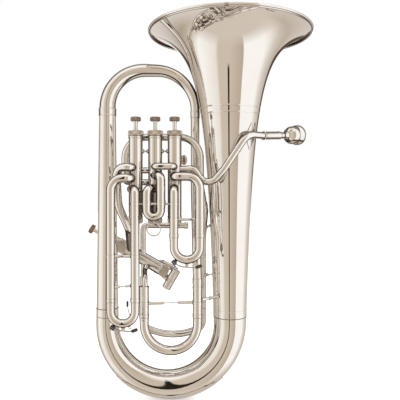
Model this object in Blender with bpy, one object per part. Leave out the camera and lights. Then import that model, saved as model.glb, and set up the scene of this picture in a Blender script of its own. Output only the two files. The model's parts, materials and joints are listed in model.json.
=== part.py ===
"""A compensating euphonium: three valves in front, a fourth on the side, and their slides.

+Z is up along the bell, +X runs from the slides towards the bell, and +Y runs from the
valves' side to the back. Every length below is in millimetres, counted from the foot of the
bell's axis, and MM turns it into metres. At the end centre_on_base moves the origin to the
middle of the instrument's base.
"""
import math

import bmesh
import bpy
from mathutils import Quaternion, Vector

MM = 0.001
GAP = 0.35
WALL = 0.75
TUBE_SIDES = 12
BOW_SIDES = 16
BELL_SIDES = 32
BEND_STEP = math.radians(45)
BOW_STEP = math.radians(22.5)
SMOOTH_ANGLE = math.radians(40)
UP = Vector((0, 0, 1))
DOWN = -UP
BACK = Vector((0, 1, 0))

# Bell: the radius falls with the square root of the distance from the rim.
BELL_TOP = 686
BELL_FOOT = 163
BELL_RIM_RADIUS = 152.5
BELL_FLARE = 22.8
BELL_WALL = 0.9
BELL_RINGS = 10
RIM_THICKNESS = 2.0
RIM_WIDTH = 3.2
RIM_WIRE_RADIUS = 1.9
FERRULE_THICKNESS = 1.4
GUARD_THICKNESS = 1.2
FERRULE_HALF_LENGTH = 7
FERRULE_CLEARANCE = 1.2

# Branches and bows of the main tube.
BRANCH_X = -229
BRANCH_FOOT_RADIUS = 20.5
BRANCH_TOP_RADIUS = 15.2
BRANCH_TOP = 540
BOW_CENTRE_Z = 142
TOP_BOW_Z = 616.5
TOP_BOW_BEND = 72
RETURN_X = -65
RETURN_Y = 25
RETURN_RADIUS = 8.4

# Valves 1 to 3 stand in a row; valve 4 lies behind the left branch.
VALVE_X = -101
VALVE_SPACING = 34.5
VALVE_Y = -48
CASING_FOOT = 341
CASING_LENGTH = 145
CASING_RADIUS = 12.25
CASING_BORE = 10.6
TOP_CAP_RADIUS = 14
TOP_CAP_HEIGHT = 10
BOTTOM_CAP_RADIUS = 13
BOTTOM_CAP_HEIGHT = 11
PISTON_RADIUS = 10.2
PISTON_FOOT = 36
PISTON_TOP_DROP = 2
STEM_RADIUS = 3.5
STEM_SHOWN = 16.5
BUTTON_RADIUS = 9
BUTTON_HEIGHT = 7.4
SPRING_RADIUS = 8.2
SPRING_WIRE = 0.8
SPRING_TURNS = 4
VALVE_4_FOOT = Vector((-131.5, 35, 236.2))
VALVE_4_LENGTH = 125
VALVE_4_TILT = math.radians(30)
VALVE_4_UP = Vector((-math.cos(VALVE_4_TILT), 0, math.sin(VALVE_4_TILT)))
VALVE_4_ACROSS = Vector((math.sin(VALVE_4_TILT), 0, math.cos(VALVE_4_TILT)))

# Slides: the inner leg runs inside the sleeve, the bow hangs below it.
SLIDE_Y = -72
SLIDE_1_RIGHT_X = -56.5
SLIDE_1_MOUTH = 309
SLIDE_1_REACH = 66
SLIDE_1_DEPTH = 38.6
SLIDE_1_BRACE = 343
SLIDE_1_PORTS = (393, 414)
SLIDE_2_X = (-148, -123.6)
SLIDE_2_MOUTH = 366
SLIDE_2_REACH = 17
SLIDE_2_DEPTH = 22
SLIDE_2_BRACE = 370
SLIDE_2_PORTS = (393, 416)
SLIDE_3_X = (-210, -168)
SLIDE_3_MOUTH = 198
SLIDE_3_REACH = 72
SLIDE_3_DEPTH = 37.6
SLIDE_3_BRACE = 277
SLIDE_3_PORTS = (392, 411)
PORT_BEND = 9.5
OUTER_BEND = 20
SLEEVE_RADIUS = 7.8
SLEEVE_WALL = 0.8
INNER_RADIUS = 6.5
BOW_RADIUS = 7.4
INNER_WALL = 0.7
BRACE_RADIUS = 2
TUNING_Y = -30
TUNING_LEFT_X = -157
TUNING_RIGHT_X = -60.7
TUNING_RADIUS = 8.6
TUNING_SLEEVE_END = 160
TUNING_TOP = 225
TUNING_START = 28
TUNING_ROUTE = ((-162.5, 17, 236), (-157, -30, 229))
TUNING_REACH = 47
TUNING_DEPTH = 60.4
TUNING_BRACE = 186
BELL_BRACE_Z = 193
REAR_Y = 30
REAR_LEFT_X = -165
REAR_RIGHT_X = -51
REAR_MOUTH = 178
REAR_REACH = 40
REAR_DEPTH = 76.7
REAR_SAG = 24
REAR_BENDS = (17, 114, 17)
REAR_TOP = 222
REAR_RADIUS = 6.8
REAR_WALL = 0.7
REAR_INNER = 5.4
ARCH_RADIUS = 6.4
ARCH_Z = 486
ARCH_Y = -22
ARCH_LEFT_X = -193
ARCH_RIGHT_X = -55.5
ACROSS_MIDDLE = Vector((-110.6, 0, 220.9))
ACROSS_HALF = 12.2
ACROSS_MOUTH_Y = 30
ACROSS_BACK_Y = 56.5
ACROSS_ENDS = (7.5, 8)
ACROSS_REACH = 15
ACROSS_DEPTH = 17.5
RING_RADIUS = 11.7
RING_WIRE = 1.2
RING_GAP = 1.4
KEY_CLEARANCE = 4.4
KEY_THICKNESS = 2.2
KEY_WIDTH = 5
KEY_ANGLES = (232, 242, 243, 256, 270, 285, 297, 298, 308)
KEY_PADS = (232, 242, 298, 308)
PAD_WIDER = 1.6
PAD_THICKER = 1.5

# Tubes between the valves.
KNUCKLE_Z = 431.5
KNUCKLE_DROP = 8.3
KNUCKLE_RADIUS = 6.1
KNUCKLE_BEND = 7
STUB_Z = 425
STUB_RADIUS = 5.4
LONG_TUBE_RADIUS = 7.2
LONG_TUBE_ROUTE = ((-178.3, -68.5, 430), (-203, -58, 430), (-202, -43, 363), (-186, -22, 318))
CROOK_RADIUS = 5.6
CROOK_Y = 34
CROOK_END = (-79, 30, 320.7)

# Leadpipe, receiver and mouthpiece.
RECEIVER_START = Vector((57, -35, 488))
RIM_CENTRE = Vector((134, 27, 495))
RECEIVER_LENGTH = 45
RECEIVER_RADIUS = 7.6
LEADPIPE_RADIUS = 6.1
LEADPIPE_ROUTE = ((-67, -53, 428), (-43, -56, 394), (-14, -62, 427), (27, -58, 488))
LEADPIPE_BENDS = (10, 18, 60, 26)
SHANK_INSIDE = 27
CUP_OUTSIDE = (
    (5.2, 0), (6.0, 28), (6.3, 38), (7.6, 43), (13, 48), (18, 58), (17.6, 68), (19.2, 74),
    (19.2, 80), (17.5, 82),
)
CUP_INSIDE = ((14, 82), (12.6, 79), (12, 68), (8, 56), (3.4, 49), (4.2, 0))
PLATE_Z = 487
PLATE_TALL = 24
PLATE_HALF_WIDTH = 9
PLATE_TIP = 2
PLATE_THICKNESS = 1.2
PLATE_FACING = math.radians(-45)

SILVER = ("silver_plate", (0.83, 0.80, 0.76, 1), 0.12, 1.0)
SATIN = ("satin_silver", (0.62, 0.57, 0.51, 1), 0.35, 1.0)
NICKEL = ("piston_nickel", (0.66, 0.65, 0.62, 1), 0.2, 1.0)
STEEL = ("spring_steel", (0.45, 0.45, 0.46, 1), 0.3, 1.0)


def clear_scene():
    for item in list(bpy.data.objects):
        bpy.data.objects.remove(item, do_unlink=True)


def finish_material(finish):
    """The named Principled material, made the first time it is asked for."""
    name, colour, roughness, metallic = finish
    material = bpy.data.materials.get(name)
    if material:
        return material
    material = bpy.data.materials.new(name)
    material.use_nodes = True
    shader = material.node_tree.nodes["Principled BSDF"]
    shader.inputs["Base Color"].default_value = colour
    shader.inputs["Roughness"].default_value = roughness
    shader.inputs["Metallic"].default_value = metallic
    return material


def loft(name, rings, finish, origin, closed=True):
    """One closed body through rings of equal length: the last ring joins the first, or both are capped."""
    mesh = bmesh.new()
    loops = [[mesh.verts.new((point - origin) * MM) for point in ring] for ring in rings]
    pairs = list(zip(loops, loops[1:]))
    if closed:
        pairs.append((loops[-1], loops[0]))
    for lower, upper in pairs:
        for i in range(len(lower)):
            j = (i + 1) % len(lower)
            mesh.faces.new((lower[i], lower[j], upper[j], upper[i]))
    if not closed:
        mesh.faces.new(loops[0])
        mesh.faces.new(loops[-1])
    bmesh.ops.recalc_face_normals(mesh, faces=mesh.faces)
    data = bpy.data.meshes.new(name)
    mesh.to_mesh(data)
    mesh.free()
    data.shade_smooth()
    data.set_sharp_from_angle(angle=SMOOTH_ANGLE)
    data.materials.append(finish_material(finish))
    body = bpy.data.objects.new(name, data)
    body.location = origin * MM
    bpy.context.scene.collection.objects.link(body)
    return body


def circle(centre, across, along, radius, sides):
    turn = 2 * math.pi / sides
    return [
        centre + (across * math.cos(turn * i) + along * math.sin(turn * i)) * radius
        for i in range(sides)
    ]


def turned(name, profile, origin, direction, finish, sides=TUBE_SIDES, closed=True):
    """A body of revolution. The profile is (radius, distance along the axis) from the origin."""
    across, along = Vector((1, 0, 0)), Vector((0, 1, 0))
    rings = [circle(UP * height, across, along, radius, sides) for radius, height in profile]
    body = loft(name, rings, finish, Vector(), closed)
    body.rotation_mode = "QUATERNION"
    body.rotation_quaternion = UP.rotation_difference(direction)
    body.location = origin * MM
    return body


def rounded_path(corners, bends, step=BEND_STEP):
    """Stations (point, direction) along the corners, each inner corner rounded with its bend radius."""
    corners = [Vector(corner) for corner in corners]
    stations = [(corners[0], (corners[1] - corners[0]).normalized())]
    for before, corner, after, bend in zip(corners, corners[1:], corners[2:], bends):
        way_in = (corner - before).normalized()
        way_out = (after - corner).normalized()
        angle = way_in.angle(way_out)
        axis = way_in.cross(way_out).normalized()
        start = corner - way_in * bend * math.tan(angle / 2)
        centre = corner + (way_out - way_in).normalized() * bend / math.cos(angle / 2)
        steps = max(1, math.ceil(angle / step - 0.01))
        for k in range(steps + 1):
            turn = Quaternion(axis, angle * k / steps)
            point = centre + turn @ (start - centre)
            if (point - stations[-1][0]).length > 0.1:
                stations.append((point, turn @ way_in))
    if (corners[-1] - stations[-1][0]).length > 0.1:
        stations.append((corners[-1], (corners[-1] - corners[-2]).normalized()))
    return stations


def frames_along(stations):
    """A (point, across, along) frame at each station, carried on without twisting."""
    before = stations[0][1]
    across = BACK.cross(before)
    if across.length < 0.5:
        across = UP.cross(before)
    across.normalize()
    frames = []
    for point, way in stations:
        across = before.rotation_difference(way) @ across
        frames.append((point, across, way.cross(across)))
        before = way
    return frames


def distances(stations):
    """How far along the path each station is, from 0 to 1."""
    run = [0.0]
    for (a, _), (b, _) in zip(stations, stations[1:]):
        run.append(run[-1] + (b - a).length)
    return [part / run[-1] for part in run]


def tube_rings(path, start_radius, end_radius, sides):
    return [
        circle(point, across, along, start_radius + (end_radius - start_radius) * part, sides)
        for (point, across, along), part in zip(frames_along(path), distances(path))
    ]


def tube(name, corners, bends, radius, end_radius=None, wall=WALL, sides=TUBE_SIDES, step=BEND_STEP):
    """An open-ended hollow tube along a rounded path, which may taper."""
    end_radius = end_radius or radius
    path = rounded_path(corners, bends, step)
    outer = tube_rings(path, radius, end_radius, sides)
    inner = tube_rings(path, radius - wall, end_radius - wall, sides)
    return loft(name, outer + inner[::-1], SILVER, path[0][0])


def rod(name, corners, bends, radius):
    path = rounded_path(corners, bends)
    return loft(name, tube_rings(path, radius, radius, TUBE_SIDES), SILVER, path[0][0], closed=False)


def as_tool(body):
    body.hide_render = True
    body.display_type = "WIRE"
    return body


def combine(body, tool, operation):
    step = body.modifiers.new(operation.lower(), "BOOLEAN")
    step.operation = operation
    step.solver = "EXACT"
    step.object = as_tool(tool)


def lengthened(corners, extra):
    """The same corners with both ends pushed out, so that a bore cuts cleanly through them."""
    corners = [Vector(corner) for corner in corners]
    first = corners[0] + (corners[0] - corners[1]).normalized() * extra
    last = corners[-1] + (corners[-1] - corners[-2]).normalized() * extra
    return [first] + corners[1:-1] + [last]


def sleeve_pair(name, left, right, bends, brace_z, radius=SLEEVE_RADIUS, wall=SLEEVE_WALL):
    """Two slide sleeves held by a brace: solid first, joined, then bored through."""
    body = rod(name, left, bends[0], radius)
    combine(body, rod(name + "_other", right, bends[1], radius), "UNION")
    ends = [Vector((side[-1][0], side[-1][1], brace_z)) for side in (left, right)]
    combine(body, rod(name + "_brace", ends, [], BRACE_RADIUS), "UNION")
    for side, turns, label in ((left, bends[0], "_bore"), (right, bends[1], "_other_bore")):
        combine(body, rod(name + label, lengthened(side, 1), turns, radius - wall), "DIFFERENCE")
    return body


def slide(name, left, right, way, inner_reach, depth, radius=BOW_RADIUS, inner=INNER_RADIUS, sag=0,
          bends=None):
    """A slide that is pulled along way: two inner legs up in the sleeves and a wider bow.

    left and right are the sleeves' mouths; depth is how far below them the bow's axis lies.
    A bow with sag is a flat one: its middle hangs that much lower than its shoulders.
    """
    half = (right - left).length / 2
    mouths = [left + way * GAP, left + way * (depth - sag), right + way * (depth - sag), right + way * GAP]
    if sag:
        mouths.insert(2, (left + right) / 2 + way * depth)
    bow = frames_along(rounded_path(mouths, bends or [half, half]))
    first, last = bow[0], bow[-1]
    tips = [left - way * inner_reach, right - way * inner_reach]
    first_tip = (tips[0], first[1], first[2])
    last_tip = (tips[1], last[1], last[2])
    outer = [first_tip, first] + bow + [last, last_tip]
    radii = [inner, inner] + [radius] * len(bow) + [inner, inner]
    skin = [circle(*frame, size, TUBE_SIDES) for frame, size in zip(outer, radii)]
    bore = [circle(*frame, inner - INNER_WALL, TUBE_SIDES) for frame in [first_tip] + bow + [last_tip]]
    return loft(name, skin + bore[::-1], SILVER, tips[0])


def bell_radius(height):
    """Outer radius of the bell at a height, below its rim band."""
    depth = BELL_TOP - RIM_THICKNESS - height
    return BELL_RIM_RADIUS * math.sqrt(BELL_FLARE / (depth + BELL_FLARE))


def make_bell():
    deepest = BELL_TOP - RIM_THICKNESS - BELL_FOOT
    spread = math.log(1 + deepest / BELL_FLARE)
    outer, inner = [], []
    for k in range(BELL_RINGS + 1):
        depth = BELL_FLARE * (math.exp(spread * k / BELL_RINGS) - 1)
        height = BELL_TOP - RIM_THICKNESS - depth
        radius = bell_radius(height)
        slope = radius / (2 * (depth + BELL_FLARE))
        square = math.hypot(1, slope)
        outer.append((radius, height))
        inner.append((radius - BELL_WALL / square, height + BELL_WALL * slope / square))
    inner[-1] = (inner[-1][0], BELL_FOOT)
    rim = [(BELL_RIM_RADIUS, BELL_TOP), (BELL_RIM_RADIUS - RIM_WIDTH, BELL_TOP)]
    profile = outer[::-1] + rim + inner[1:]
    turned("bell", profile, Vector(), UP, SILVER, BELL_SIDES)


def make_rim_wire():
    ring_radius = BELL_RIM_RADIUS - RIM_WIRE_RADIUS - 1
    depth = BELL_FLARE * ((BELL_RIM_RADIUS / ring_radius) ** 2 - 1)
    height = BELL_TOP - RIM_THICKNESS - depth - RIM_WIRE_RADIUS - 2 * GAP
    section = [
        (ring_radius + RIM_WIRE_RADIUS * math.cos(turn), height + RIM_WIRE_RADIUS * math.sin(turn))
        for turn in [math.radians(60 * k) for k in range(6)]
    ]
    turned("bell_rim_wire", section, Vector(), UP, SILVER, BELL_SIDES)


def make_ferrule(name, centre, radius):
    """A short ring round the joint of two wide tubes."""
    low, high = -FERRULE_HALF_LENGTH, FERRULE_HALF_LENGTH
    inside = radius + FERRULE_CLEARANCE
    outside = inside + FERRULE_THICKNESS
    profile = [(inside, low), (outside, low), (outside, high), (inside, high)]
    turned(name, profile, Vector(centre), UP, SILVER, BOW_SIDES)


def make_main_tube():
    """The wide tube from the top bow, down the left branch and round the bottom bow to the bell."""
    foot_radius = bell_radius(BELL_FOOT)
    half = -BRANCH_X / 2
    low = BOW_CENTRE_Z - half
    join = BELL_FOOT - GAP
    bow = [(0, 0, join), (0, 0, low), (BRANCH_X, 0, low), (BRANCH_X, 0, join)]
    wide = {"sides": BOW_SIDES, "step": BOW_STEP}
    tube("bottom_bow", bow, [half, half], foot_radius, BRANCH_FOOT_RADIUS, **wide)
    make_ferrule("bell_ferrule", (0, 0, BELL_FOOT), foot_radius)
    make_ferrule("branch_ferrule", (BRANCH_X, 0, BELL_FOOT), BRANCH_FOOT_RADIUS)
    branch = [(BRANCH_X, 0, BELL_FOOT), (BRANCH_X, 0, BRANCH_TOP)]
    tube("left_branch", branch, [], BRANCH_FOOT_RADIUS, BRANCH_TOP_RADIUS, **wide)
    make_ferrule("top_bow_ferrule", (BRANCH_X, 0, BRANCH_TOP - 5), BRANCH_TOP_RADIUS)
    over = [
        (BRANCH_X, 0, BRANCH_TOP + GAP),
        (BRANCH_X, 0, TOP_BOW_Z),
        (RETURN_X, RETURN_Y, TOP_BOW_Z),
        (RETURN_X, RETURN_Y, BRANCH_TOP + GAP),
    ]
    tube("top_bow", over, [TOP_BOW_BEND] * 2, BRANCH_TOP_RADIUS, RETURN_RADIUS, **wide)
    down = [
        (RETURN_X, RETURN_Y, BRANCH_TOP),
        (RETURN_X, RETURN_Y, 405),
        (TUNING_RIGHT_X - 2, TUNING_Y, 300),
        (TUNING_RIGHT_X, TUNING_Y, TUNING_TOP + 1),
    ]
    tube("right_branch", down, [40, 40], RETURN_RADIUS)


def make_bow_guard():
    """A plate bent round the underside of the bottom bow, where it is set down."""
    half = -BRANCH_X / 2
    foot_radius = bell_radius(BELL_FOOT)
    straight = BELL_FOOT - GAP - BOW_CENTRE_Z
    length = math.pi * half + 2 * straight
    first, facet = math.radians(45), 2 * math.pi / BOW_SIDES
    rings = []
    for k in range(5):
        turn = first + BOW_STEP * k
        part = (straight + turn * half) / length
        inside = foot_radius + (BRANCH_FOOT_RADIUS - foot_radius) * part + GAP
        outward = Vector((math.cos(turn), 0, -math.sin(turn)))
        centre = Vector((BRANCH_X / 2, 0, BOW_CENTRE_Z)) + outward * half
        arc = [facet * i for i in range(-3, 4)]
        spokes = [outward * math.cos(a) + Vector((0, math.sin(a), 0)) for a in arc]
        ring = [centre + spoke * inside for spoke in spokes]
        ring += [centre + spoke * (inside + GUARD_THICKNESS) for spoke in spokes[::-1]]
        rings.append(ring)
    loft("bow_guard", rings, SILVER, rings[0][0].copy(), closed=False)


def make_spring(name, origin, direction):
    """A coil standing on the bottom cap, under the piston."""
    low, high = SPRING_WIRE + GAP, PISTON_FOOT - SPRING_WIRE - GAP
    steps = SPRING_TURNS * 6
    path = []
    for k in range(steps + 1):
        turn = 2 * math.pi * SPRING_TURNS * k / steps
        height = low + (high - low) * k / steps
        point = Vector((math.cos(turn), math.sin(turn), 0)) * SPRING_RADIUS + UP * height
        path.append((point, Vector((-math.sin(turn), math.cos(turn), 0))))
    body = loft(name, tube_rings(path, SPRING_WIRE, SPRING_WIRE, 4), STEEL, Vector(), closed=False)
    body.rotation_mode = "QUATERNION"
    body.rotation_quaternion = UP.rotation_difference(direction)
    body.location = origin * MM


def make_valve(number, foot, up, length):
    """Casing, caps, spring, piston and finger button of one valve, along its own axis."""
    sides = 16
    label = f"_{number}"
    casing = [(CASING_BORE, 0), (CASING_RADIUS, 0), (CASING_RADIUS, length), (CASING_BORE, length)]
    turned("valve_casing" + label, casing, foot, up, SILVER, sides)
    cap_top = length + TOP_CAP_HEIGHT
    hole = STEM_RADIUS + 0.6
    top_cap = [
        (hole, length + GAP),
        (TOP_CAP_RADIUS, length + GAP),
        (TOP_CAP_RADIUS, cap_top - 1.5),
        (TOP_CAP_RADIUS - 1.5, cap_top),
        (hole, cap_top),
    ]
    turned("top_cap" + label, top_cap, foot, up, SATIN, sides)
    bottom_cap = [
        (4, 1.5 - BOTTOM_CAP_HEIGHT),
        (BOTTOM_CAP_RADIUS - 2, -BOTTOM_CAP_HEIGHT),
        (BOTTOM_CAP_RADIUS, 2 - BOTTOM_CAP_HEIGHT),
        (BOTTOM_CAP_RADIUS, -GAP),
    ]
    turned("bottom_cap" + label, bottom_cap, foot, up, SATIN, sides, closed=False)
    make_spring("valve_spring" + label, foot, up)
    piston_top = length - PISTON_TOP_DROP
    piston = [
        (PISTON_RADIUS - 1, piston_top - 1.5),
        (PISTON_RADIUS - 1, PISTON_FOOT),
        (PISTON_RADIUS, PISTON_FOOT),
        (PISTON_RADIUS, piston_top),
    ]
    turned("piston" + label, piston, foot, up, NICKEL, sides, closed=False)
    button_foot = cap_top + STEM_SHOWN
    button = [
        (STEM_RADIUS, piston_top + GAP),
        (STEM_RADIUS, button_foot),
        (BUTTON_RADIUS - 1, button_foot),
        (BUTTON_RADIUS, button_foot + 1),
        (BUTTON_RADIUS, button_foot + BUTTON_HEIGHT - 1),
        (BUTTON_RADIUS - 1, button_foot + BUTTON_HEIGHT),
    ]
    turned("finger_button" + label, button, foot, up, SATIN, sides, closed=False)


def make_valves():
    for number in (1, 2, 3):
        foot = Vector((VALVE_X - VALVE_SPACING * (number - 1), VALVE_Y, CASING_FOOT))
        make_valve(number, foot, UP, CASING_LENGTH)
    make_valve(4, VALVE_4_FOOT, VALVE_4_UP, VALVE_4_LENGTH)


def port(number, angle, height, reach=CASING_RADIUS + 0.7):
    """A point just off a front valve's casing, at an angle counted from +X towards +Y."""
    turn = math.radians(angle)
    middle = Vector((VALVE_X - VALVE_SPACING * (number - 1), VALVE_Y, height))
    return middle + Vector((math.cos(turn), math.sin(turn), 0)) * reach


def leg(x, z, y=SLIDE_Y):
    """A point on a slide leg's axis."""
    return Vector((x, y, z))


def make_slide_1():
    left_x, right_x, mouth = VALVE_X, SLIDE_1_RIGHT_X, SLIDE_1_MOUTH
    low, high = SLIDE_1_PORTS
    left = [port(1, -90, low), leg(left_x, low), leg(left_x, mouth)]
    right = [port(1, -90, high), leg(left_x, high), leg(right_x, high), leg(right_x, mouth)]
    sleeve_pair("slide_1_sleeves", left, right, ([PORT_BEND], [PORT_BEND, OUTER_BEND]), SLIDE_1_BRACE)
    slide("slide_1", left[-1], right[-1], DOWN, SLIDE_1_REACH, SLIDE_1_DEPTH)
    make_water_key("water_key_1", left_x, right_x, mouth - SLIDE_1_DEPTH)


def make_slide_2():
    (left_x, right_x), mouth = SLIDE_2_X, SLIDE_2_MOUTH
    low, high = SLIDE_2_PORTS
    off, bend = CASING_RADIUS + 2.25, PORT_BEND - 1.5
    left = [port(2, -116, low, off), leg(left_x, low), leg(left_x, mouth)]
    right = [port(2, -64, high, off), leg(right_x, high), leg(right_x, mouth)]
    sleeve_pair("slide_2_sleeves", left, right, ([bend], [bend]), SLIDE_2_BRACE)
    slide("slide_2", left[-1], right[-1], DOWN, SLIDE_2_REACH, SLIDE_2_DEPTH)
    drop = SLIDE_2_DEPTH + BOW_RADIUS + GAP + RING_GAP + RING_RADIUS
    middle = (left[-1] + right[-1]) / 2 + DOWN * drop
    corners = ((1, 0), (0, 1), (-1, 0), (0, -1))
    section = [(RING_RADIUS + RING_WIRE * x, RING_WIRE * y) for x, y in corners]
    turned("slide_2_ring", section, middle, BACK, SILVER, 20)


def make_slide_3():
    (left_x, right_x), mouth = SLIDE_3_X, SLIDE_3_MOUTH
    low, high = SLIDE_3_PORTS
    start = port(3, -90, high)
    left = [start, leg(start.x, high), leg(left_x, high), leg(left_x, mouth)]
    right = [port(3, -81, low), leg(right_x, low), leg(right_x, mouth)]
    sleeve_pair("slide_3_sleeves", left, right, ([PORT_BEND, OUTER_BEND], [PORT_BEND]), SLIDE_3_BRACE)
    slide("slide_3", left[-1], right[-1], DOWN, SLIDE_3_REACH, SLIDE_3_DEPTH)
    make_water_key("water_key_3", left_x, right_x, mouth - SLIDE_3_DEPTH)


def make_water_key(name, left_x, right_x, axis_bottom):
    """A lever bent round under the bow, with a wider pad at each end."""
    half = (right_x - left_x) / 2
    centre = Vector(((left_x + right_x) / 2, SLIDE_Y, axis_bottom + half))
    near = half + BOW_RADIUS + KEY_CLEARANCE
    rings = []
    for angle in KEY_ANGLES:
        turn = math.radians(angle)
        outward = Vector((math.cos(turn), 0, math.sin(turn)))
        wide = KEY_WIDTH / 2 * (PAD_WIDER if angle in KEY_PADS else 1)
        far = near + KEY_THICKNESS * (PAD_THICKER if angle in KEY_PADS else 1)
        side = Vector((0, wide, 0))
        ring = [outward * near - side, outward * far - side, outward * far + side, outward * near + side]
        rings.append([centre + point for point in ring])
    loft(name, rings, SILVER, centre - UP * (near - KEY_CLEARANCE / 2), closed=False)


def make_tuning_slide():
    y, mouth = TUNING_Y, TUNING_SLEEVE_END
    aim = (VALVE_4_ACROSS * -0.64 - BACK * 0.77).normalized()
    start = VALVE_4_FOOT + VALVE_4_UP * TUNING_START + aim * (CASING_RADIUS + 2.4)
    left = [start, *[Vector(point) for point in TUNING_ROUTE], leg(TUNING_LEFT_X, mouth, y)]
    right = [leg(TUNING_RIGHT_X, TUNING_TOP, y), leg(TUNING_RIGHT_X, mouth, y)]
    sleeve_pair("tuning_sleeves", left, right, ([12, 22], []), TUNING_BRACE, TUNING_RADIUS)
    slide("tuning_slide", left[-1], right[-1], DOWN, TUNING_REACH, TUNING_DEPTH,
          TUNING_RADIUS - 0.3, TUNING_RADIUS - 1.3)
    foot = leg(TUNING_RIGHT_X + TUNING_RADIUS + 0.6, BELL_BRACE_Z, y)
    reach = math.sqrt((bell_radius(BELL_BRACE_Z) + 4) ** 2 - y ** 2)
    rod("bell_brace", [foot, Vector((-reach, y, BELL_BRACE_Z + 1))], [], BRACE_RADIUS)


def make_fourth_slide():
    left_x, right_x, mouth = REAR_LEFT_X, REAR_RIGHT_X, REAR_MOUTH
    sleeve = [leg(left_x, REAR_TOP, REAR_Y), leg(left_x, mouth, REAR_Y)]
    tube("slide_4_sleeve_left", sleeve, [], REAR_RADIUS, wall=REAR_WALL)
    arch = [
        port(3, 125, 404, CASING_RADIUS + 2.5),
        (ARCH_LEFT_X, ARCH_Y, 406),
        (ARCH_LEFT_X, ARCH_Y, ARCH_Z),
        (ARCH_RIGHT_X, ARCH_Y, ARCH_Z),
        (ARCH_RIGHT_X, ARCH_Y, 398),
        (-47, 0, 350),
        (right_x, REAR_Y, 296),
        (right_x, REAR_Y, mouth),
    ]
    bends = [10, 38, 38, 40, 30, 40]
    tube("compensating_return", arch, bends, ARCH_RADIUS, REAR_RADIUS, wall=REAR_WALL)
    slide("slide_4", sleeve[1], leg(right_x, mouth, REAR_Y), DOWN, REAR_REACH, REAR_DEPTH,
          REAR_RADIUS - 0.2, REAR_INNER, REAR_SAG, REAR_BENDS)


def make_compensating_slide():
    """A short slide across the foot of the fourth valve, drawn towards the front."""
    low = ACROSS_MIDDLE - VALVE_4_ACROSS * ACROSS_HALF
    high = ACROSS_MIDDLE + VALVE_4_ACROSS * ACROSS_HALF
    mouths = (low + BACK * ACROSS_MOUTH_Y, high + BACK * ACROSS_MOUTH_Y)
    slide("compensating_slide", *mouths, -BACK, ACROSS_REACH, ACROSS_DEPTH, BOW_RADIUS, REAR_INNER)
    along, aside = ACROSS_ENDS
    for label, side, shift in (("upper", high, aside), ("lower", low, -aside)):
        end = VALVE_4_FOOT + VALVE_4_UP * along + VALVE_4_ACROSS * shift + BACK * (CASING_RADIUS + 1)
        corner = Vector((end.x, ACROSS_BACK_Y, end.z))
        path = [side + BACK * ACROSS_MOUTH_Y, side + BACK * ACROSS_BACK_Y, corner, end]
        tube("compensating_tube_" + label, path, [8, 8], REAR_RADIUS, wall=REAR_WALL)


def make_valve_tubes():
    """The short tubes that lead from valve to valve."""
    y = VALVE_Y - CASING_RADIUS - KNUCKLE_DROP
    first, second = port(2, -90, KNUCKLE_Z), port(1, -90, KNUCKLE_Z)
    front = [first, (first.x, y, KNUCKLE_Z), (second.x, y, KNUCKLE_Z), second]
    tube("knuckle_1_2", front, [KNUCKLE_BEND] * 2, KNUCKLE_RADIUS)
    tube("knuckle_2_3", [port(3, 0, STUB_Z), port(2, 180, STUB_Z)], [], STUB_RADIUS)
    valve_4_at = VALVE_4_FOOT + VALVE_4_UP * 68
    came_from = Vector(LONG_TUBE_ROUTE[-1])
    off = (came_from - valve_4_at).normalized() * (CASING_RADIUS + 2.8)
    down = [port(3, -112, LONG_TUBE_ROUTE[0][2]), *LONG_TUBE_ROUTE, valve_4_at + off]
    tube("tube_3_to_4", down, [8, 16, 60, 24], LONG_TUBE_RADIUS)
    foot = VALVE_4_FOOT + VALVE_4_UP * 40
    crook = [(foot.x, CROOK_Y, foot.z + 18.5), (foot.x, CROOK_Y, CROOK_END[2]), CROOK_END]
    tube("compensating_crook", crook, [14], CROOK_RADIUS)


def make_leadpipe():
    way = (RIM_CENTRE - RECEIVER_START).normalized()
    start = port(1, -9, 427, CASING_RADIUS + 2.2)
    tube("leadpipe", [start, *LEADPIPE_ROUTE, RECEIVER_START], LEADPIPE_BENDS, LEADPIPE_RADIUS)
    ends = [RECEIVER_START + way * GAP, RECEIVER_START + way * RECEIVER_LENGTH]
    tube("mouthpiece_receiver", ends, [], RECEIVER_RADIUS, sides=16)
    tip = RECEIVER_START + way * (RECEIVER_LENGTH - SHANK_INSIDE)
    turned("mouthpiece", CUP_OUTSIDE + CUP_INSIDE, tip, way, SILVER, 16)


def make_leadpipe_brace():
    """A pointed plate on the bell, behind the end of the leadpipe."""
    rings = []
    for k in range(7):
        part = -1 + k / 3
        height = PLATE_Z + PLATE_TALL * part
        near = bell_radius(height) + 1.5
        far = near + PLATE_THICKNESS
        spread = (PLATE_TIP + (PLATE_HALF_WIDTH - PLATE_TIP) * (1 - abs(part))) / near
        corners = ((-spread, near), (-spread, far), (spread, far), (spread, near))
        rings.append([
            Vector((math.cos(PLATE_FACING + turn), math.sin(PLATE_FACING + turn), 0)) * reach + UP * height
            for turn, reach in corners
        ])
    loft("leadpipe_brace", rings, SILVER, rings[0][0].copy(), closed=False)


def centre_on_base():
    """Moves everything so that the origin is the middle of the bounding box's lowest face."""
    bpy.context.view_layer.update()
    shown = [item for item in bpy.data.objects if not item.hide_render]
    points = [item.matrix_world @ vertex.co for item in shown for vertex in item.data.vertices]
    low = [min(point[i] for point in points) for i in range(3)]
    high = [max(point[i] for point in points) for i in range(3)]
    base = Vector(((low[0] + high[0]) / 2, (low[1] + high[1]) / 2, low[2]))
    for item in bpy.data.objects:
        item.location -= base


clear_scene()
make_bell()
make_rim_wire()
make_main_tube()
make_bow_guard()
make_valves()
make_valve_tubes()
make_slide_1()
make_slide_2()
make_slide_3()
make_tuning_slide()
make_fourth_slide()
make_compensating_slide()
make_leadpipe()
make_leadpipe_brace()
centre_on_base()
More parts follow.
